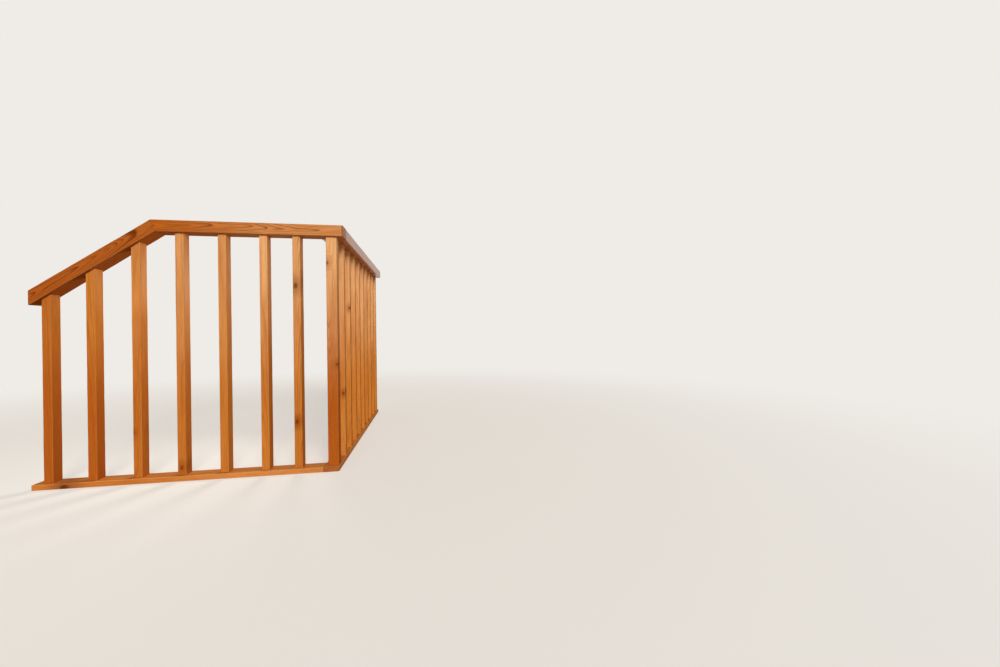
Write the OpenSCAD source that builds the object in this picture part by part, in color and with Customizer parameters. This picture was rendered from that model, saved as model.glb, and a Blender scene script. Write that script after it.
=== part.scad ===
// Loft stairwell guard: an L-shaped timber railing. The front run has a level
// top rail that turns down to a raked rail through a mitred elbow; the side run
// goes back level from the corner post. Square-cut pickets stand between the
// rails and thin base plates, and those under the raked rail are cut to it.
// Origin: on the floor, under the middle of the corner post.
// +X runs to the right along the front run, +Y back along the side run, +Z up.

/* [Guard] */
// Height of the level rail's top above the floor
guard_h = 914; // [800:1:1100]
// Length of the front run, from the post's centre to its low end
front_len = 950; // [850:1:1300]
// Length of the side run, from the post's centre to its far end
side_len = 1137; // [500:1:1600]

/* [Slope] */
// Angle of the raked rail below level, in degrees
rake = 34.5; // [15:0.5:45]
// Distance from the post's centre to the upper edge of the elbow
elbow_x = 590; // [450:1:750]

/* [Rails] */
// Thickness of all rails
rail_t = 41; // [28:1:60]
// Width of the level and raked rails of the front run
front_rail_w = 64; // [50:1:110]
// Width of the rail of the side run
side_rail_w = 89; // [60:1:120]
// Radius sanded onto the long edges of the rails
rail_ease = 3; // [1:0.5:10]
// Radius of the upright edge at the outer corner of the front rail
nose_r = 10; // [2:1:20]

/* [Base plates] */
// Thickness of the base plates
plate_t = 19; // [12:1:40]
// Width of the base plates
plate_w = 57; // [50:1:90]
// Radius of the upper edges of the base plates
plate_ease = 2; // [0.5:0.5:5]
// Distance from the front plate's face back to the corner post
front_setback = 10; // [2:1:12]
// Distance from the side plate's face in to the corner post
side_setback = 3; // [2:1:12]

/* [Uprights] */
// Side of the square corner post
post_w = 38; // [34:1:45]
// Width of a picket, measured along its run
picket_w = 27; // [18:1:45]
// Depth of a picket, measured across its run
picket_d = 38; // [28:1:42]
// Radius of the upright edges of the pickets and the post
upright_ease = 2; // [0.5:0.5:5]

/* [Spacing] */
// Centre distance in the side run and in the bay next to the corner post
corner_bay = 122; // [90:1:150]
// Centre distance in the second bay of the front run
second_bay = 112; // [90:1:150]
// Centre distance in the middle bays of the front run
front_bay = 136.5; // [100:0.5:150]
// Centre distance in the last bay of the front run, at its low end
end_bay = 129; // [100:1:150]

/* [Hidden] */
$fn = 32;
// Reach of the cutting shapes, well past the guard on every side
far = 2 * (guard_h + front_len + side_len);
// Underside of the level rails, where the uprights stop
soffit = guard_h - rail_t;
// The mitre halves the angle between the level rail and the raked rail
elbow_under_x = elbow_x - rail_t * tan(rake / 2);
// Heights of the raked rail's faces at a distance left of the post
function rake_top(x) = guard_h - (x - elbow_x) * tan(rake);
function rake_under(x) = soffit - (x - elbow_under_x) * tan(rake);

// The end of the front rail lies flush with the outer face of the side rail
rail_end = side_rail_w / 2;
// The side rail butts against the back of the front rail
rail_back = front_rail_w / 2;
// Outer faces of the base plates
plate_front = -post_w / 2 - front_setback;
plate_outer = post_w / 2 + side_setback;

// Places of the pickets, counted from the corner post
front_n = 3 + floor((front_len - corner_bay - second_bay - end_bay - picket_w / 2) / front_bay);
function front_at(i) = -corner_bay - min(i - 1, 1) * second_bay
    - max(min(i, front_n - 1) - 2, 0) * front_bay - (i == front_n ? end_bay : 0);
function side_at(i) = i * corner_bay;
side_n = floor((side_len - picket_w / 2) / corner_bay);

// Rectangle a by b with rounded corners, centred
module eased(a, b, r) {
    square([a - 2 * r, b], center = true);
    square([a, b - 2 * r], center = true);
    for (x = [-1, 1], y = [-1, 1])
        translate([x * (a / 2 - r), y * (b / 2 - r)]) circle(r);
}

// Rail along +X, centred in Y, with its top face at z = 0
module rail(length, w) {
    translate([0, 0, -rail_t / 2])
        rotate([90, 0, 90]) linear_extrude(length) eased(w, rail_t, rail_ease);
}

// Base plate along +X: its face at y = 0, its two upper edges eased
module base_plate(length) {
    rotate([90, 0, 90]) linear_extrude(length) {
        square([plate_w, plate_t - plate_ease]);
        translate([plate_ease, 0]) square([plate_w - 2 * plate_ease, plate_t]);
        for (y = [plate_ease, plate_w - plate_ease])
            translate([y, plate_t - plate_ease]) circle(plate_ease);
    }
}

// Upright from the base plate to the level rails' underside, a by b in plan
module upright(x, y, a, b) {
    translate([x, y, plate_t]) linear_extrude(soffit - plate_t) eased(a, b, upright_ease);
}

// Everything whose front elevation, in X and Z, lies inside the outline
module in_elevation(outline) {
    translate([0, far / 2, 0]) rotate([90, 0, 0]) linear_extrude(far) polygon(outline);
}

// Everything left of the front rail's end, with the outer upright edge rounded
module inside_nose() {
    translate([rail_end, -front_rail_w / 2, 0]) linear_extrude(far) {
        translate([-far, nose_r]) square([far, far]);
        translate([-far, 0]) square([far - nose_r, far]);
        translate([-nose_r, nose_r]) circle(nose_r, $fn = 64);
    }
}

// The front plate butts against the side plate, which runs through to the front
module front_base_plate() {
    color("#b9692c")
        translate([-front_len, plate_front, 0]) base_plate(front_len + plate_outer - plate_w);
}

module side_base_plate() {
    color("#a95d27")
        translate([plate_outer, plate_front, 0]) rotate([0, 0, 90])
            base_plate(side_len - plate_front);
}

module corner_post() {
    color("#cf8a47") upright(0, 0, post_w, post_w);
}

// Level rail of the front run: mitred at the elbow, rounded at the outer corner
module front_top_rail() {
    color("#c07834")
        intersection() {
            translate([-elbow_x, 0, guard_h]) rail(elbow_x + rail_end, front_rail_w);
            in_elevation([
                [-elbow_x, guard_h], [-elbow_under_x, soffit],
                [rail_end, soffit], [rail_end, guard_h]
            ]);
            inside_nose();
        }
}

// Raked rail: slopes from the elbow down to a plumb-cut end
module raked_rail() {
    length = (front_len - elbow_x) / cos(rake) + rail_t;
    color("#b86f2f")
        intersection() {
            translate([-elbow_x, 0, guard_h]) rotate([0, -rake, 0])
                translate([-length, 0, 0]) rail(length + rail_t, front_rail_w);
            in_elevation([
                [-elbow_x, guard_h], [-elbow_under_x, soffit],
                [-front_len, rake_under(front_len)], [-front_len, rake_top(front_len)]
            ]);
        }
}

module side_top_rail() {
    color("#c99a63")
        translate([0, rail_back, guard_h]) rotate([0, 0, 90])
            rail(side_len - rail_back, side_rail_w);
}

// Picket of the front run: its top is cut to whichever rail is above it
module front_picket(i) {
    color("#cc8540")
        intersection() {
            upright(front_at(i), 0, picket_w, picket_d);
            in_elevation([
                [0, 0], [0, soffit], [-elbow_under_x, soffit],
                [-front_len, rake_under(front_len)], [-front_len, 0]
            ]);
        }
}

module side_picket(i) {
    color("#d39150") upright(0, side_at(i), picket_d, picket_w);
}

front_base_plate();
side_base_plate();
corner_post();
front_top_rail();
raked_rail();
side_top_rail();
for (i = [1:front_n])
    front_picket(i);
for (i = [1:side_n])
    side_picket(i);
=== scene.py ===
from math import atan, cos, pi, radians, sin

import bpy
import numpy as np
from mathutils import Matrix, Vector


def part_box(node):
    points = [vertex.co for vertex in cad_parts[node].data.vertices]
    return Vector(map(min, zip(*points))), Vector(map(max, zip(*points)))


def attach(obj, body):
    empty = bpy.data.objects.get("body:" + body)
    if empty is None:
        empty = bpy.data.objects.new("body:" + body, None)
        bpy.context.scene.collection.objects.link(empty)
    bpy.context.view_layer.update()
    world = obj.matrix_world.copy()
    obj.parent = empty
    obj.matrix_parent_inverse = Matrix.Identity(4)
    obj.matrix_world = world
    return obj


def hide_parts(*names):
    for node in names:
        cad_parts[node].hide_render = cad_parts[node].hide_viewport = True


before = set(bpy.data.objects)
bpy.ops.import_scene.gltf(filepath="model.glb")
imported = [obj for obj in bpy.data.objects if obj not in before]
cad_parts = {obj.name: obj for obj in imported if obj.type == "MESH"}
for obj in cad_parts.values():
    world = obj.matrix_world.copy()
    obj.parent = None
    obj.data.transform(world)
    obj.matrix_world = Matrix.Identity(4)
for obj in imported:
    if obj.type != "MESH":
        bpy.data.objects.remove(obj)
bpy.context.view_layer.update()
mm = 0.001
print("frame loaded:", len(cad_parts), "nodes")


def linear(code):  # sRGB hex code to the linear colour that a shader takes
    parts = [int(code[i:i + 2], 16) / 255 for i in (1, 3, 5)]
    return [c / 12.92 if c <= 0.04045 else ((c + 0.055) / 1.055) ** 2.4 for c in parts] + [1.0]


def addNode(tree, kind, settings=None, inputs=None):
    # settings are the node's own fields, inputs are values or sockets by name or number
    node = tree.nodes.new(kind)
    for field, value in (settings or {}).items():
        setattr(node, field, value)
    for key, value in (inputs or {}).items():
        if isinstance(value, bpy.types.NodeSocket):
            tree.links.new(value, node.inputs[key])
        else:
            node.inputs[key].default_value = value
    return node


# Camera at the photograph's viewpoint, found from the railing's own vanishing points

camera = {
    "place": (0.3594, -1.6327, 0.5092),
    "turn": 9.687,  # degrees to the right of +Y
    "tilt": -0.142,  # degrees above level
    "roll": -0.636,
    "focal": 410.5,  # in pixels of a picture 1000 wide
    "pictureWidth": 1000,
    "sensorWidth": 36.0,
}


def makeCamera(c):
    data = bpy.data.cameras.new("camera")
    data.sensor_width = c["sensorWidth"]
    data.lens = c["focal"] / c["pictureWidth"] * data.sensor_width
    data.clip_start = 0.02
    obj = bpy.data.objects.new("camera", data)
    bpy.context.scene.collection.objects.link(obj)
    turn = Matrix.Rotation(-radians(c["turn"]), 4, "Z")
    tilt = Matrix.Rotation(pi / 2 + radians(c["tilt"]), 4, "X")
    roll = Matrix.Rotation(radians(c["roll"]), 4, "Z")
    obj.matrix_world = Matrix.Translation(c["place"]) @ turn @ tilt @ roll
    bpy.context.scene.camera = obj


makeCamera(camera)
print("camera placed")

# Boards: a rounded rectangle carried along the grain, cut by a plane at each end

board = {
    "station": 7 * mm,  # spacing of the rings along the grain
    "cornerSteps": 5,
    "faceStops": (0.03, 0.12, 0.28, 0.5, 0.72, 0.88, 0.97),  # rows across each face
    "rim": 0.7 * mm,  # easing of the sawn ends
    "rimStops": ((0, 1), (0.3, 0.3), (1, 0), (2.2, 0)),  # way in from the cut and draw-in, in rims
    "rimToRings": 6,  # way in from the cut to the first plain ring, in rims
    "easeDrift": 0.3,  # how much the hand-sanded edges vary along a piece
    "wander": 0.12 * mm,  # hand-sanding waves in the faces
    "endSteps": (0.25, 0.55, 0.7, 0.78, 0.84, 0.89, 0.93, 0.96, 0.985),  # rings across a sawn end
}


def drift(rng, along, across, waves=7, longest=0.34, shortest=0.035, falling=0.7, slanting=9):
    # Smooth noise between -1 and 1: a sum of sines whose wavelengths run from longest to shortest,
    # in metres, and whose heights fall with them
    total = np.zeros(np.broadcast(along, across).shape)
    for k in range(waves):
        length = longest * (shortest / longest) ** (k / (waves - 1))
        height = (length / longest) ** falling
        phase = rng.uniform(0, 2 * pi, 2)
        slant = rng.uniform(-slanting, slanting)
        wave = height * np.sin(2 * pi * along / length + phase[0])
        total = total + wave * np.cos(slant * across / length + phase[1])
    return total / np.abs(total).max()


def roundedSection(width, depth, ease):
    # Outline and outward normals of a width by depth rectangle whose corner radius is ease,
    # one row per entry of ease: flat rows along each side, then an arc round each corner
    half = np.stack([width / 2 - ease, depth / 2 - ease], -1)
    corners = np.array([(1, 1), (-1, 1), (-1, -1), (1, -1)])
    points, normals = [], []
    for k in range(4):
        centre = half * corners[k]
        nextCentre = half * corners[(k + 1) % 4]
        angles = (k + np.linspace(0, 1, board["cornerSteps"] + 1)) * pi / 2
        for a in angles:
            way = np.array([cos(a), sin(a)])
            points.append(centre + ease[:, None] * way)
            normals.append(np.broadcast_to(way, centre.shape))
        way = np.array([cos(angles[-1]), sin(angles[-1])])
        for f in board["faceStops"]:
            points.append(centre * (1 - f) + nextCentre * f + ease[:, None] * way)
            normals.append(np.broadcast_to(way, centre.shape))
    return np.stack(points, 1), np.stack(normals, 1)


def boardMesh(name, start, end, across, width, depth, ease, seed, cuts, nose):
    # Point(i, j) = start + grain * s + across * u + face * v, with (u, v) on the section at ring i.
    # s runs from one cut plane to the other; a cut is (point, normal), square where it is None.
    # A nose of radius r rounds the upright edge at the start, where u is least: there
    # s = r - sqrt(r^2 - d^2), with d how far the point lies inside the last r of the width.
    start, end, across = (np.array(p, float) for p in (start, end, across))
    length = np.linalg.norm(end - start)
    grain = (end - start) / length
    face = np.cross(grain, across)
    rng = np.random.default_rng(seed)

    rim = board["rim"]
    first = board["rimToRings"] * rim
    inner = np.linspace(first, length - first, max(int(length / board["station"]), 4))
    lead, inset = rim * np.array(board["rimStops"]).T
    stations = np.concatenate([lead, inner, length - lead[::-1]])
    insets = np.concatenate([inset, 0 * inner, inset[::-1]])

    radii = ease * (1 + board["easeDrift"] * drift(rng, stations, 0.0))
    section, normals = roundedSection(width, depth, radii)
    waves = board["wander"] * drift(rng, stations[:, None], section[..., 0] + 2 * section[..., 1])
    section = section + normals * (np.minimum(waves - board["wander"], 0) - insets[:, None])[..., None]

    def cutAt(section, cut, square):
        if cut is None:
            return np.full(section.shape[:-1], square)
        point, normal = (np.array(p, float) for p in cut)
        offset = section[..., :1] * across + section[..., 1:] * face
        return ((point - start - offset) @ normal) / (grain @ normal)

    def firstAt(section):
        d = np.clip(nose - width / 2 - section[..., 0], 0, 0.999 * nose)
        return cutAt(section, cuts[0], 0.0) + nose - np.sqrt(nose ** 2 - d ** 2)

    share = np.clip(stations / length, 0, 1)[:, None]
    s = firstAt(section) * (1 - share) + cutAt(section, cuts[1], length) * share

    # sawn ends: the end ring drawn towards its middle in a few steps, closed by one point
    steps = np.array(board["endSteps"])
    firstEnd = steps[:, None, None] * section[0]
    lastEnd = steps[::-1, None, None] * section[-1]
    middle = np.zeros((1, 2))
    rings = np.concatenate([firstEnd, section, lastEnd])
    s = np.concatenate([firstAt(firstEnd), s, cutAt(lastEnd, cuts[1], length)])
    sawn = np.zeros(rings.shape[:2])
    sawn[:len(steps) + 1] = sawn[-len(steps) - 1:] = 1
    place = start + s[..., None] * grain + rings[..., :1] * across + rings[..., 1:] * face
    poles = [start + cutAt(middle, cut, square)[0] * grain for cut, square in zip(cuts, (0.0, length))]

    count, around = place.shape[:2]
    vertices = np.concatenate([place.reshape(-1, 3), poles])
    i, j = np.meshgrid(np.arange(count - 1), np.arange(around), indexing="ij")
    a, b = i * around + j, i * around + (j + 1) % around
    quads = np.stack([a, b, b + around, a + around], -1).reshape(-1, 4)
    ring = np.arange(around)
    nextOne = (ring + 1) % around
    low = np.stack([np.full(around, count * around), nextOne, ring], -1)
    last = (count - 1) * around
    high = np.stack([np.full(around, count * around + 1), last + ring, last + nextOne], -1)

    mesh = bpy.data.meshes.new(name)
    mesh.from_pydata(vertices.tolist(), [], quads.tolist() + low.tolist() + high.tolist())
    mesh.polygons.foreach_set("use_smooth", np.ones(len(mesh.polygons), bool))
    ends = mesh.attributes.new("sawnEnd", "FLOAT", "POINT")
    ends.data.foreach_set("value", np.concatenate([sawn.ravel(), [1, 1]]))
    obj = bpy.data.objects.new(name, mesh)
    bpy.context.scene.collection.objects.link(obj)
    return obj


# Timber: planed softwood under clear varnish. It shows warm orange wood with darker growth
# lines under a soft sheen, paler at the edges by rubbed wear and a painted highlight where the
# rounding catches the light. The growth rings lie round a pith beside the piece, so they give
# arches on flat-sawn faces, straight lines on the others and arcs on the sawn ends.

timber = {
    "deep": "#ac5214",  # what the redder boards, the painted shade and the redder clouds lean to
    "pale": "#f1b57a",  # what the paler boards and the painted light lean to
    "lateLean": 0.35,  # how far the late wood leans with them
    "toneAndPaintedLightSpan": (-0.25, 0.5),  # where the tone and its painted light and shade change, in lengths from the middle
    "waverAcross": 60 * mm,  # breadth of the slow waves in the rings; the quick ones have half
    # one year: way through it, and how much late wood there is
    "years": ((0.0, 0.0), (0.3, 0.05), (0.55, 0.24), (0.7, 0.8), (0.86, 1.0), (0.95, 0.1)),
    "faintestYear": 0.35,  # late wood of the weakest year, for 1 in the strongest
    "yearDrift": (90.0, 3.0),  # wide years turn to narrow this often a metre, by so many years
    "fibre": (0.8 * mm, 55 * mm),  # breadth and length, coarser than real fibres so that they show
    "fibreSpan": (0.3, 0.7),  # from a dark to a pale fibre in the noise
    "fibreShade": (0.8, 1.16),
    "fibreRough": (-0.06, 0.08),
    "duct": (0.55 * mm, 9 * mm),  # resin ducts, the short dark dashes along the grain
    "ductSpan": (0.66, 0.76),  # the noise's peaks alone
    "ductShade": 0.35,
    "cloud": (38 * mm, 260 * mm),  # patches of redder wood
    "cloudSpan": (0.35, 0.7),
    "cloudShade": 0.4,
    "paleEdgeReach": (0.8 * mm, 2.8 * mm),  # way in from an edge: fully paled by wear and painted highlight, and plain
    "paleEdgeSpan": (0.2, 0.65),  # of the clouds again, from little to much paling
    "paleEdgeShare": (0.25, 1.0),
    "sawnShade": (0.45, 0.85),  # early and late wood on a sawn end
    "sawnRough": 0.2,  # added there
    "relief": (0.6, 0.5),  # how far late wood stands up and a duct sinks in, where a fibre has 1
    "bump": 0.12 * mm,
    "bumpStrength": 0.5,
    "varnish": 1.5,  # IOR
    "anyPith": ((5, 40), (30, 90)),  # mm beside the middle, drawn where a board gives no pith
    "anyTilt": 1.6,  # degrees
}

# a knot's measures are in its own breadths, but for those in millimetres
knotWood = {
    "flat": 0.65,  # breadth for its length along the grain
    "grit": 4 * mm,  # lumps in its outline
    "ragged": 0.8,  # how far they reach
    "rim": (0.7, 1.5),  # solid inside the first, gone outside the second
    "swell": (0.5, 4.5),  # where the rings part round it
    "push": 2.0,  # how far they part
    "halo": 0.75,  # share of late wood there
    "ring": 0.55 * mm,  # half the spacing of its own rings
    "ringShade": 0.7,
}

finishes = {
    # early and late wood under varnish, the knots, the paler edges of wear and painted highlight, and the
    # sawn ends that soaked the varnish up; waver is how far the rings stray, slowly and in quick waves, and
    # wave is how long those are
    "rail": {"early": "#cb7428", "late": "#4c1a03", "knot": "#3c1507", "wornAndHighlit": "#e2a25c", "sawn": "#7a3a15",
             "ring": 2.5 * mm, "waver": (8 * mm, 3.0 * mm), "wave": (420 * mm, 120 * mm), "contrast": 1.0,
             "rough": 0.42, "gloss": 0.0, "coat": 0.03, "coatRough": 0.24, "wearAndHighlight": 0.4},
    "upright": {"early": "#d48638", "late": "#985018", "knot": "#6b2608", "wornAndHighlit": "#f4bf7e",
                "sawn": "#8a4518", "ring": 2.6 * mm, "waver": (6 * mm, 0.8 * mm),
                "wave": (520 * mm, 160 * mm), "contrast": 0.66, "rough": 0.5, "gloss": 0.0,
                "coat": 0.02, "coatRough": 0.26, "wearAndHighlight": 0.12},
    "plate": {"early": "#cf7c2c", "late": "#8c4414", "knot": "#3c1507", "wornAndHighlit": "#e6a65e", "sawn": "#7a3a15",
              "ring": 3.0 * mm, "waver": (8 * mm, 1.6 * mm), "wave": (420 * mm, 140 * mm), "contrast": 0.66,
              "rough": 0.46, "gloss": 0.0, "coat": 0.05, "coatRough": 0.24, "wearAndHighlight": 0.5},
}


def blend(a, b, share):  # a where share is 0, b where it is 1
    return [x * (1 - share) + y * share for x, y in zip(a, b)]


def woodMaterial(name, look, toneAndPaintedLight, middle, grain, across, size, rng, pith, tilt, knots):
    # tone is a pair, for the board's start and end, each from -1, redder and deeper, to 1, paler; it paints
    # light and shade along the board as well as its own tone; u, v and s are a board's own directions
    mat = bpy.data.materials.new(name)
    mat.use_nodes = True
    t = mat.node_tree
    t.nodes.clear()

    def calc(operation, a, b=0.5, c=0.5):
        return addNode(t, "ShaderNodeMath", {"operation": operation}, {0: a, 1: b, 2: c}).outputs[0]

    def vector(operation, inputs, out=0):
        return addNode(t, "ShaderNodeVectorMath", {"operation": operation}, inputs).outputs[out]

    def ramp(value, low, high, toLow=0.0, toHigh=1.0, smooth=False):
        slope = {"interpolation_type": "SMOOTHSTEP" if smooth else "LINEAR"}
        return addNode(t, "ShaderNodeMapRange", slope, {
            "Value": value, "From Min": low, "From Max": high, "To Min": toLow, "To Max": toHigh}).outputs[0]

    def mix(share, a, b):
        return addNode(t, "ShaderNodeMix", {"data_type": "RGBA"}, {"Factor": share, 6: a, 7: b}).outputs[2]

    def noise(breadth, length, detail, shift, out="Fac"):
        # noise whose lumps have this breadth across the grain and this length along it
        at = addNode(t, "ShaderNodeMapping", inputs={
            "Vector": local, "Location": shift, "Scale": (1 / breadth, 1 / breadth, 1 / length)}).outputs[0]
        lumps = addNode(t, "ShaderNodeTexNoise", inputs={"Vector": at, "Scale": 1.0, "Detail": detail})
        return lumps.outputs[out]

    turn = Matrix([across, np.cross(grain, across), grain])  # brings u to X, v to Y and s to Z
    local = addNode(t, "ShaderNodeMapping", inputs={
        "Vector": addNode(t, "ShaderNodeTexCoord").outputs["Object"],
        "Rotation": turn.to_euler("XYZ"), "Location": -(turn @ Vector(middle))}).outputs[0]
    shifts = rng.uniform(-50, 50, (6, 3))

    # the wood's two colours, leaning to one tone at the start and to the other towards the end: painted light
    # and shade along the board, with its own tone
    alongGrain = addNode(t, "ShaderNodeSeparateXYZ", inputs={0: local}).outputs[2]
    rise = ramp(alongGrain, *(share * size[2] for share in timber["toneAndPaintedLightSpan"]), smooth=True)

    def leaning(code, share):
        towards = [linear(timber["pale" if k > 0 else "deep"]) for k in toneAndPaintedLight]
        return mix(rise, *(blend(linear(code), end, share * abs(k)) for end, k in zip(towards, toneAndPaintedLight)))

    early, late = leaning(look["early"], 1.0), leaning(look["late"], timber["lateLean"])

    # rings: distance from the pith, which lies askew to the piece and wavers along it
    centred = addNode(t, "ShaderNodeMapping", inputs={
        "Vector": local, "Location": (pith[0], pith[1], 0),
        "Rotation": (radians(tilt[0]), radians(tilt[1]), 0)}).outputs[0]
    for k in (0, 1):
        waver = noise(timber["waverAcross"] / (1 + k), look["wave"][k], 1.5, shifts[k], "Color")
        waver = vector("SUBTRACT", {0: waver, 1: (0.5, 0.5, 0.5)})
        waver = vector("SCALE", {0: waver, "Scale": 2 * look["waver"][k]})
        centred = vector("ADD", {0: centred, 1: waver})
    radius = vector("LENGTH", {0: vector("MULTIPLY", {0: centred, 1: (1, 1, 0)})}, "Value")

    # knots: a branch crosses the board along its own way, and the rings part round it
    knotMask, knotHalo, knotRings = None, None, None
    for place, way, breadth in knots:
        axis = Vector(way).normalized()
        gap = vector("SUBTRACT", {0: local, 1: place})
        beside = vector("SUBTRACT", {0: gap, 1: vector("SCALE", {
            0: axis, "Scale": vector("DOT_PRODUCT", {0: gap, 1: axis}, "Value")})})
        far = vector("LENGTH", {0: vector("MULTIPLY", {0: beside, 1: (1, 1, knotWood["flat"])})}, "Value")
        grit = noise(knotWood["grit"], knotWood["grit"], 2.0, shifts[5])
        ragged = calc("MULTIPLY_ADD", grit, knotWood["ragged"] * breadth, far)
        swell = ramp(far, *(k * breadth for k in knotWood["swell"]), 1.0, 0.0, True)
        mask = ramp(ragged, *(k * breadth for k in knotWood["rim"]), 1.0, 0.0, True)
        rings = calc("MULTIPLY", mask, calc("PINGPONG", ragged, knotWood["ring"]))
        radius = calc("MULTIPLY_ADD", swell, knotWood["push"] * breadth, radius)
        knotMask = mask if knotMask is None else calc("MAXIMUM", knotMask, mask)
        knotHalo = swell if knotHalo is None else calc("MAXIMUM", knotHalo, swell)
        knotRings = rings if knotRings is None else calc("MAXIMUM", knotRings, rings)

    # a year's growth: pale early wood darkening slowly to a thin late line, then a sharp end
    often, most = timber["yearDrift"]
    uneven = addNode(t, "ShaderNodeTexNoise", {"noise_dimensions": "1D"}, {
        "W": calc("MULTIPLY", radius, often), "Scale": 1.0, "Detail": 1.0}).outputs["Fac"]
    years = calc("MULTIPLY_ADD", uneven, most, calc("DIVIDE", radius, look["ring"]))
    ringRamp = addNode(t, "ShaderNodeValToRGB", inputs={"Fac": calc("FRACT", years)})
    for k, (at, value) in enumerate(timber["years"]):
        stop = ringRamp.color_ramp.elements[k] if k < 2 else ringRamp.color_ramp.elements.new(at)
        stop.position, stop.color = at, (value, value, value, 1)
    yearTone = addNode(t, "ShaderNodeTexWhiteNoise", {"noise_dimensions": "1D"}, {
        "W": calc("FLOOR", years)}).outputs["Value"]
    faintness = ramp(yearTone, 0.0, 1.0, timber["faintestYear"], 1.0)
    lateWood = calc("MULTIPLY", ringRamp.outputs["Color"], faintness)

    # fibres and resin ducts along the grain, and slow clouds of redder wood
    fibre = noise(*timber["fibre"], 3.0, shifts[2])
    duct = ramp(noise(*timber["duct"], 1.0, shifts[3]), *timber["ductSpan"])
    cloud = noise(*timber["cloud"], 2.0, shifts[4])
    redder = ramp(cloud, *timber["cloudSpan"], 0.0, timber["cloudShade"])
    colour = mix(calc("MULTIPLY", lateWood, look["contrast"]), early, late)
    colour = mix(redder, colour, linear(timber["deep"]))
    colour = mix(calc("MULTIPLY", duct, timber["ductShade"]), colour, late)
    shade = ramp(fibre, *timber["fibreSpan"], *timber["fibreShade"])
    colour = vector("SCALE", {0: colour, "Scale": shade})

    # edges: paler where they have been rounded, by rubbed wear and a painted highlight, more in some places
    # than in others
    inside = vector("SUBTRACT", {0: (size[0] / 2, size[1] / 2, 0), 1: vector("ABSOLUTE", {0: local})})
    inside = addNode(t, "ShaderNodeSeparateXYZ", inputs={0: inside})
    edge = calc("MAXIMUM", inside.outputs[0], inside.outputs[1])
    patches = ramp(cloud, *timber["paleEdgeSpan"], *timber["paleEdgeShare"])
    wornAndHighlit = calc("MULTIPLY", ramp(edge, *timber["paleEdgeReach"], look["wearAndHighlight"], 0.0, True), patches)
    colour = mix(wornAndHighlit, colour, linear(look["wornAndHighlit"]))
    if knots:
        ringing = ramp(knotRings, 0.0, knotWood["ring"], 0.0, knotWood["ringShade"])
        colour = mix(calc("MULTIPLY", knotHalo, knotWood["halo"]), colour, late)
        colour = mix(knotMask, colour, mix(ringing, linear(look["knot"]), late))
    sawn = addNode(t, "ShaderNodeAttribute", {"attribute_name": "sawnEnd"}).outputs["Fac"]
    soaked = calc("MULTIPLY", sawn, ramp(lateWood, 0.0, 1.0, *timber["sawnShade"]))
    colour = mix(soaked, colour, linear(look["sawn"]))

    rough = ramp(fibre, *timber["fibreSpan"], *(look["rough"] + r for r in timber["fibreRough"]))
    rough = calc("ADD", rough, calc("MULTIPLY", sawn, timber["sawnRough"]))
    coat = look["coat"]
    if "endCoat" in look:
        coat = calc("MULTIPLY_ADD", sawn, look["endCoat"], coat)
    raised, sunk = timber["relief"]
    height = calc("MULTIPLY_ADD", lateWood, raised, calc("SUBTRACT", fibre, calc("MULTIPLY", duct, sunk)))
    bump = addNode(t, "ShaderNodeBump", inputs={
        "Height": height, "Distance": timber["bump"], "Strength": timber["bumpStrength"]})
    shader = addNode(t, "ShaderNodeBsdfPrincipled", inputs={
        "Base Color": colour, "Roughness": rough, "Normal": bump.outputs[0], "IOR": timber["varnish"],
        "Specular IOR Level": look["gloss"], "Coat Weight": coat, "Coat Roughness": look["coatRough"],
        "Coat IOR": timber["varnish"]})
    addNode(t, "ShaderNodeOutputMaterial", inputs={"Surface": shader.outputs[0]})
    return mat


# The guard's boards, each placed by its node's box

along = {"x": Vector((1, 0, 0)), "y": Vector((0, 1, 0))}
levelLow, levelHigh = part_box("front_top_rail")
rakedLow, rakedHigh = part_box("raked_rail")
railTop, railUnder = levelHigh.z, levelLow.z
elbowTop = Vector((levelLow.x, 0, railTop))  # upper and lower ends of the mitre
elbowUnder = Vector((rakedHigh.x, 0, railUnder))
rake = 2 * atan((elbowUnder.x - elbowTop.x) / (railTop - railUnder))  # the mitre halves it
downhill = Vector((-cos(rake), 0, -sin(rake)))
slopeNormal = Vector((-sin(rake), 0, cos(rake)))
mitreNormal = Vector((railTop - railUnder, 0, elbowUnder.x - elbowTop.x)).normalized()

easing = {"upright": 2 * mm, "rail": 3 * mm, "plate": 2 * mm, "nose": 10 * mm}
pieces = {}


def addBoard(name, node, start, end, across, width, depth, finish, seed, cuts=(None, None),
             nose=0.0, pith=None, tilt=None, toneAndPaintedLight=(0.0, 0.0), knots=(), **sheen):
    # knots are (u, v, s, way, breadth) in the board's own directions, s from its middle;
    # sheen changes single values of the finish, and its endCoat is added on the sawn ends
    rng = np.random.default_rng(seed)
    obj = boardMesh(name, start, end, across, width, depth, easing[finish], seed, cuts, nose)
    grain = (Vector(end) - Vector(start)).normalized()
    side = rng.choice([-1, 1], 2)
    pith = pith or [way * rng.uniform(*span) * mm for way, span in zip(side, timber["anyPith"])]
    tilt = tilt or rng.uniform(-timber["anyTilt"], timber["anyTilt"], 2)
    middle = (Vector(start) + Vector(end)) / 2
    size = (width, depth, (Vector(end) - Vector(start)).length)
    knots = [((u, v, s), way, breadth) for u, v, s, way, breadth in knots]
    obj.data.materials.append(woodMaterial(
        name + "PlanedVarnishedSoftwood", {**finishes[finish], **sheen}, toneAndPaintedLight, middle, grain, Vector(across),
        size, rng, pith, tilt, knots))
    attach(obj, "root")
    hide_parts(node)
    pieces[name] = obj
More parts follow.
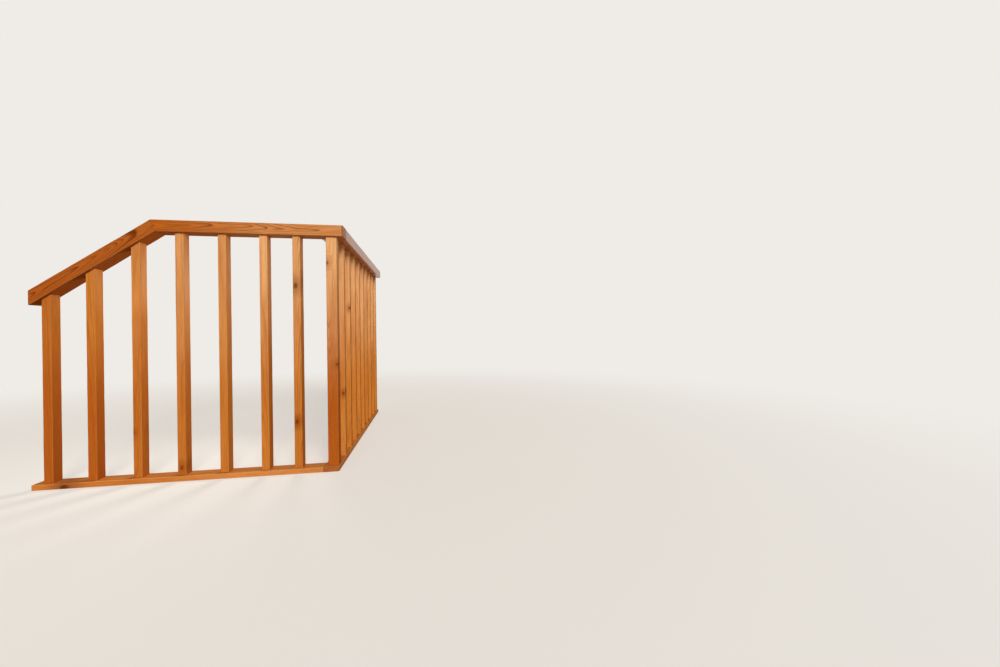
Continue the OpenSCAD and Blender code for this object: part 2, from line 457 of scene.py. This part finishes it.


# tones, from foot to top, and knots of single uprights as the photograph shows them; the tones paint light
# and shade:
# paler tops, deeper feet and deeper pickets to the left. A knot here has its height above the floor in the
# place of s
uprights = {
    "cornerPost": {"toneAndPaintedLight": (-0.9, 1.0), "pith": (8 * mm, 60 * mm), "tilt": (0.9, 0.5), "knots": (
        (-14 * mm, -17 * mm, 777 * mm, (0.3, 1, 0.6), 6 * mm),
        (18 * mm, -18 * mm, 397 * mm, (1, 1, 0.1), 5 * mm))},
    "frontPicket1": {"toneAndPaintedLight": (-0.25, 0.7), "contrast": 1.0, "late": "#86400f", "knots": (
        (-3 * mm, -17 * mm, 691 * mm, (0.25, 1, 0.8), 9 * mm),
        (-4 * mm, -17 * mm, 188 * mm, (-0.2, 1, -0.9), 6 * mm))},
    "frontPicket2": {"toneAndPaintedLight": (-0.3, 0.8)},
    "frontPicket3": {"toneAndPaintedLight": (-0.2, 0.5)},
    "frontPicket4": {"toneAndPaintedLight": (-0.45, 0.55), "knots": ((0.0, -17 * mm, 46 * mm, (0.2, 1, 0.1), 6 * mm),)},
    "frontPicket5": {"toneAndPaintedLight": (-0.55, 0.2), "knots": ((-12 * mm, -17 * mm, 177 * mm, (0.5, 1, 0.2), 5 * mm),)},
    "frontPicket6": {"toneAndPaintedLight": (-0.85, 0.0)},
    "frontPicket7": {"toneAndPaintedLight": (-0.85, -0.4), "contrast": 0.9, "waver": (7 * mm, 2 * mm)},
    "sidePicket1": {"toneAndPaintedLight": (0.05, 1.0), "knots": ((12 * mm, -13 * mm, 271 * mm, (0.4, 1, 0.2), 5 * mm),)},
    "sidePicket2": {"toneAndPaintedLight": (-0.1, 0.9), "knots": ((17 * mm, -13 * mm, 622 * mm, (0.4, 1, 0.1), 5 * mm),)},
}
# the side pickets lean pale, palest at the top: painted light on their faces
otherUprights = {"front": {}, "side": {"toneAndPaintedLight": (-0.1, 1.0)}}
uprightSeeds = {"post": 11, "front": 20, "side": 40}  # a picket's number is added


def addUpright(name, node, seed, cut=None, knots=(), **more):
    low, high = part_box(node)
    middle = (low + high) / 2
    knots = [(u, v, z - middle.z, way, breadth) for u, v, z, way, breadth in knots]
    addBoard(name, node, (middle.x, middle.y, low.z), (middle.x, middle.y, high.z), along["x"],
             high.x - low.x, high.y - low.y, "upright", seed, (None, cut), knots=knots, **more)


addUpright("cornerPost", "corner_post", uprightSeeds["post"], **uprights["cornerPost"])
frontCount = sum(n.startswith("front_picket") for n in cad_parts)
sideCount = sum(n.startswith("side_picket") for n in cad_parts)
underRaked = (elbowUnder, slopeNormal)
for i in range(1, frontCount + 1):
    name, node = f"frontPicket{i}", f"front_picket_{i}"
    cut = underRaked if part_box(node)[1].z < railUnder - mm else None
    addUpright(name, node, uprightSeeds["front"] + i, cut, **uprights.get(name, otherUprights["front"]))
for i in range(1, sideCount + 1):
    name, node = f"sidePicket{i}", f"side_picket_{i}"
    addUpright(name, node, uprightSeeds["side"] + i, coat=0.0, **uprights.get(name, otherUprights["side"]))
print("uprights made:", len(pieces))

# the front rail's tone pair paints light, paler at its right end; the raked rail's darker early wood and
# deeper low end are painted shade
rails = {
    "frontTopRail": {"seed": 61, "pith": (58 * mm, 3 * mm), "tilt": (0.3, -1.3), "toneAndPaintedLight": (0.4, -0.5),
                     "ring": 1.9 * mm, "endCoat": 0.45},
    "rakedRail": {"seed": 62, "pith": (59.2 * mm, 5 * mm), "tilt": (0.5, -2.6), "toneAndPaintedLight": (-0.3, -0.7),
                  "early": "#b8682a"},
    "sideTopRail": {"seed": 63, "pith": (12 * mm, 70 * mm), "tilt": (1.2, 0.6), "toneAndPaintedLight": (-0.6, -0.6),
                    "gloss": 0.4, "coat": 0.5, "rough": 0.38},
}

railThick = railTop - railUnder
levelZ = (railTop + railUnder) / 2
addBoard("frontTopRail", "front_top_rail", (levelHigh.x, 0, levelZ), (levelLow.x, 0, levelZ), along["y"],
         levelHigh.y - levelLow.y, railThick, "rail", cuts=(None, (elbowTop, mitreNormal)),
         nose=easing["nose"], **rails["frontTopRail"])
# the raked rail's plumb end is at the low side of its box
rakedStart = elbowTop - slopeNormal * railThick / 2
rakedLength = (rakedStart.x - rakedLow.x) / cos(rake)
addBoard("rakedRail", "raked_rail", rakedStart, rakedStart + downhill * rakedLength, along["y"],
         rakedHigh.y - rakedLow.y, railThick, "rail",
         cuts=((elbowTop, mitreNormal), (rakedLow, along["x"])), **rails["rakedRail"])
sideLow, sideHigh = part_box("side_top_rail")
addBoard("sideTopRail", "side_top_rail", (0, sideLow.y, levelZ), (0, sideHigh.y, levelZ), along["x"],
         sideHigh.x - sideLow.x, railThick, "rail", **rails["sideTopRail"])

plates = {
    "frontBasePlate": {"seed": 71, "toneAndPaintedLight": (0.2, 0.1), "knots": (
        (-28 * mm, 4 * mm, 364 * mm, (1, 0.1, 0.2), 11 * mm),)},
    "sideBasePlate": {"seed": 72, "toneAndPaintedLight": (0.2, 0.1)},
}

low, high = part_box("front_base_plate")
middle, size = (low + high) / 2, high - low
addBoard("frontBasePlate", "front_base_plate", (high.x, middle.y, middle.z), (low.x, middle.y, middle.z),
         along["y"], size.y, size.z, "plate", **plates["frontBasePlate"])
low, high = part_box("side_base_plate")
middle, size = (low + high) / 2, high - low
addBoard("sideBasePlate", "side_base_plate", (middle.x, low.y, middle.z), (middle.x, high.y, middle.z),
         along["x"], size.x, size.z, "plate", **plates["sideBasePlate"])
print("rails and plates made:", len(pieces))

# Studio: pale floor and surroundings, a soft sun from above the camera, the surroundings' own
# fill, and a small lamp in the guard's corner for the right-hand faces of the front pickets

studio = {
    "pale": "#efece7",  # surroundings
    "floor": "#c4bdb3",  # darker, so that it throws less light up
    "floorSize": 16.0,
    "middle": (-0.45, 0.55, 0.0),
    "fade": (1.2, 4.2),  # from the matt floor that takes shadows to the plain backdrop
    "surround": (0.03, 0.47),  # strength of the surroundings as a light, least and most
    "brightSide": (-0.3, -0.57, 0.76),  # way to their brightest part
    "brightSpan": (-0.7, 0.7),  # from least to most, as the cosine of the angle to that way
    "floorGlow": 0.5,  # share of the surroundings' brightness that is added where the floor is seen
    "sunFrom": (0.3, -0.9, 0.34),
    "sunSpread": 20.0,  # degrees
    "sunPower": 2.42,
    "lampPlace": (-0.25, 0.6, 0.78),
    "lampTarget": (-0.7, 0.0, 0.45),
    "lampSize": 0.3,
    "lampPower": 2.2,
    "lampSpread": 120.0,  # degrees
}


def addLamp(name, kind, place, target, **settings):
    data = bpy.data.lights.new(name, kind)
    for field, value in settings.items():
        setattr(data, field, value)
    obj = bpy.data.objects.new(name, data)
    obj.location = place
    obj.rotation_euler = (Vector(place) - Vector(target)).to_track_quat("Z", "Y").to_euler()
    obj.visible_camera = False
    bpy.context.scene.collection.objects.link(obj)


def seenDirectly(tree):
    # 1 where the camera, a reflection or a see-through part looks, 0 where light is gathered
    path = addNode(tree, "ShaderNodeLightPath")
    glossy = addNode(tree, "ShaderNodeMath", {"operation": "MAXIMUM"}, {
        0: path.outputs["Is Glossy Ray"], 1: path.outputs["Is Transmission Ray"]}).outputs[0]
    return addNode(tree, "ShaderNodeMath", {"operation": "MAXIMUM"}, {
        0: path.outputs["Is Camera Ray"], 1: glossy}).outputs[0]


def makeFloor(s):
    h = s["floorSize"] / 2
    mesh = bpy.data.meshes.new("floor")
    mesh.from_pydata([(-h, -h, 0), (h, -h, 0), (h, h, 0), (-h, h, 0)], [], [(0, 1, 2, 3)])
    floor = bpy.data.objects.new("floor", mesh)
    bpy.context.scene.collection.objects.link(floor)
    mat = bpy.data.materials.new("matt pale floor")
    mat.use_nodes = True
    t = mat.node_tree
    t.nodes.clear()
    coords = addNode(t, "ShaderNodeTexCoord").outputs["Object"]
    away = addNode(t, "ShaderNodeVectorMath", {"operation": "DISTANCE"}, {
        0: coords, 1: s["middle"]}).outputs["Value"]
    fade = addNode(t, "ShaderNodeMapRange", {"interpolation_type": "SMOOTHSTEP"}, {
        "Value": away, "From Min": s["fade"][0], "From Max": s["fade"][1]}).outputs[0]
    matt = addNode(t, "ShaderNodeBsdfDiffuse", inputs={"Color": linear(s["floor"])}).outputs[0]
    glow = addNode(t, "ShaderNodeEmission", inputs={"Color": linear(s["pale"]), "Strength": 1.0}).outputs[0]
    seen = seenDirectly(t)
    added = addNode(t, "ShaderNodeMath", {"operation": "MULTIPLY"}, {0: seen, 1: s["floorGlow"]}).outputs[0]
    lift = addNode(t, "ShaderNodeEmission", inputs={"Color": linear(s["pale"]), "Strength": added}).outputs[0]
    near = addNode(t, "ShaderNodeAddShader", inputs={0: matt, 1: lift}).outputs[0]
    share = addNode(t, "ShaderNodeMath", {"operation": "MULTIPLY"}, {0: fade, 1: seen}).outputs[0]
    surface = addNode(t, "ShaderNodeMixShader", inputs={0: share, 1: near, 2: glow}).outputs[0]
    addNode(t, "ShaderNodeOutputMaterial", inputs={"Surface": surface})
    mesh.materials.append(mat)


def makeSurroundings(s):
    world = bpy.data.worlds.new("surroundings")
    bpy.context.scene.world = world
    world.use_nodes = True
    w = world.node_tree
    w.nodes.clear()
    way = addNode(w, "ShaderNodeTexCoord").outputs["Generated"]
    side = addNode(w, "ShaderNodeVectorMath", {"operation": "DOT_PRODUCT"}, {
        0: way, 1: s["brightSide"]}).outputs["Value"]
    light = addNode(w, "ShaderNodeMapRange", {"interpolation_type": "SMOOTHSTEP"}, {
        "Value": side, "From Min": s["brightSpan"][0], "From Max": s["brightSpan"][1],
        "To Min": s["surround"][0], "To Max": s["surround"][1]}).outputs[0]
    strength = addNode(w, "ShaderNodeMapRange", inputs={
        "Value": seenDirectly(w), "To Min": light, "To Max": 1.0}).outputs[0]
    back = addNode(w, "ShaderNodeBackground", inputs={"Color": linear(s["pale"]), "Strength": strength})
    addNode(w, "ShaderNodeOutputWorld", inputs={"Surface": back.outputs[0]})


makeFloor(studio)
makeSurroundings(studio)
addLamp("sun", "SUN", studio["sunFrom"], (0, 0, 0),
        energy=studio["sunPower"], angle=radians(studio["sunSpread"]))
addLamp("cornerLamp", "AREA", studio["lampPlace"], studio["lampTarget"], shape="DISK",
        size=studio["lampSize"], energy=studio["lampPower"], spread=radians(studio["lampSpread"]))
bpy.context.scene.view_settings.view_transform = "Standard"
print("studio made")
